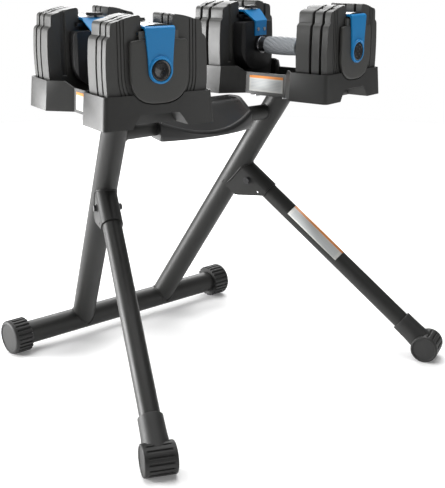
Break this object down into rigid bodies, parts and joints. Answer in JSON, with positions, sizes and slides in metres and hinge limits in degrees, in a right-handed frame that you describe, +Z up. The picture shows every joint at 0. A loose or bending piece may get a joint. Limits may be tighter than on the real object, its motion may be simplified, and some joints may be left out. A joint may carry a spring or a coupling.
{
  "type": "adjustable dumbbell pair on floor stand",
  "caption": "Selectable-weight dumbbells with slotted plates and sliding weight selectors, docked in trays on a four-foot tubular floor stand.",
  "frame": {"origin": "centre of the bounding box, on the floor", "axes": "+Z up; the user stands on the -Y side, between the splayed front legs; +X to that user's right; handles run roughly along Y"},
  "size_m": [0.8208, 0.7004, 0.7549],
  "materials": {
    "charcoal_tube": "semi-gloss powder coat",
    "rubber_feet": "matte moulded",
    "tray_plastic": "fine-textured",
    "panel_plastic": "fine-textured",
    "plate_iron": "matte textured coating",
    "bridge_blue": "gloss",
    "housing_black": "satin",
    "shield_grey": "fine-textured",
    "cap_black": "gloss",
    "grip_grey": "soft matte",
    "collar_black": "satin",
    "steel_bright": "brushed",
    "screw_steel": "zinc plated",
    "bolt_black": "black oxide",
    "scale_white": "satin",
    "label_white": "printed film"
  },
  "bodies": {
    "stand": {"rear_foot_bar": "charcoal_tube", "left_upright": "charcoal_tube", "right_upright": "charcoal_tube", "crossbar": "charcoal_tube", "left_leg": "charcoal_tube", "right_leg": "charcoal_tube", "left_leg_bracket": "charcoal_tube", "right_leg_bracket": "charcoal_tube", "leg_bolts": "bolt_black", "left_front_foot": "rubber_feet", "right_front_foot": "rubber_feet", "left_rear_cap": "rubber_feet", "right_rear_cap": "rubber_feet", "centre_panel": "panel_plastic", "panel_screws": "screw_steel", "tray_mounts": "charcoal_tube", "left_tray": "tray_plastic", "right_tray": "tray_plastic", "tray_screws": "screw_steel", "labels": "label_white"},
    "left_outer_plates": {"left_near_outer_plate": "plate_iron", "left_far_outer_plate": "plate_iron"},
    "left_middle_plates": {"left_near_middle_plate": "plate_iron", "left_far_middle_plate": "plate_iron"},
    "left_inner_plates": {"left_near_inner_plate": "plate_iron", "left_far_inner_plate": "plate_iron"},
    "left_handle": {"left_handle_bar": "steel_bright", "left_grip": "grip_grey", "left_collars": "collar_black", "left_rings": "steel_bright", "left_near_housing": "housing_black", "left_far_housing": "housing_black", "left_necks": "housing_black", "left_end_shields": "shield_grey", "left_bridges": "bridge_blue", "left_scales": "scale_white", "left_end_caps": "cap_black", "left_bridge_screws": "screw_steel"},
    "left_near_slide": {"left_near_selector": "collar_black"},
    "left_far_slide": {"left_far_selector": "collar_black"},
    "right_outer_plates": {"right_near_outer_plate": "plate_iron", "right_far_outer_plate": "plate_iron"},
    "right_middle_plates": {"right_near_middle_plate": "plate_iron", "right_far_middle_plate": "plate_iron"},
    "right_inner_plates": {"right_near_inner_plate": "plate_iron", "right_far_inner_plate": "plate_iron"},
    "right_handle": {"right_handle_bar": "steel_bright", "right_grip": "grip_grey", "right_collars": "collar_black", "right_rings": "steel_bright", "right_near_housing": "housing_black", "right_far_housing": "housing_black", "right_necks": "housing_black", "right_end_shields": "shield_grey", "right_bridges": "bridge_blue", "right_scales": "scale_white", "right_end_caps": "cap_black", "right_bridge_screws": "screw_steel"},
    "right_near_slide": {"right_near_selector": "collar_black"},
    "right_far_slide": {"right_far_selector": "collar_black"}
  },
  "joints": [
    {"name": "left_outer_plates_lift", "type": "slide", "parent": "stand", "child": "left_outer_plates", "axis": [0, 0, 1], "range_m": [0, 0.18]},
    {"name": "left_middle_plates_lift", "type": "slide", "parent": "left_outer_plates", "child": "left_middle_plates", "axis": [0, 0, 1], "range_m": [0, 0.18]},
    {"name": "left_inner_plates_lift", "type": "slide", "parent": "left_middle_plates", "child": "left_inner_plates", "axis": [0, 0, 1], "range_m": [0, 0.18]},
    {"name": "left_handle_lift", "type": "slide", "parent": "left_inner_plates", "child": "left_handle", "axis": [0, 0, 1], "range_m": [0, 0.18]},
    {"name": "left_near_selector_slide", "type": "slide", "parent": "left_handle", "child": "left_near_slide", "axis": [-0.1822, -0.9833, 0], "range_m": [0, 0.0738]},
    {"name": "left_far_selector_slide", "type": "slide", "parent": "left_handle", "child": "left_far_slide", "axis": [0.1822, 0.9833, 0], "range_m": [0, 0.0738]},
    {"name": "right_outer_plates_lift", "type": "slide", "parent": "stand", "child": "right_outer_plates", "axis": [0, 0, 1], "range_m": [0, 0.18]},
    {"name": "right_middle_plates_lift", "type": "slide", "parent": "right_outer_plates", "child": "right_middle_plates", "axis": [0, 0, 1], "range_m": [0, 0.18]},
    {"name": "right_inner_plates_lift", "type": "slide", "parent": "right_middle_plates", "child": "right_inner_plates", "axis": [0, 0, 1], "range_m": [0, 0.18]},
    {"name": "right_handle_lift", "type": "slide", "parent": "right_inner_plates", "child": "right_handle", "axis": [0, 0, 1], "range_m": [0, 0.18]},
    {"name": "right_near_selector_slide", "type": "slide", "parent": "right_handle", "child": "right_near_slide", "axis": [0.1822, -0.9833, 0], "range_m": [0, 0.0738]},
    {"name": "right_far_selector_slide", "type": "slide", "parent": "right_handle", "child": "right_far_slide", "axis": [-0.1822, 0.9833, 0], "range_m": [0, 0.0738]}
  ]
}
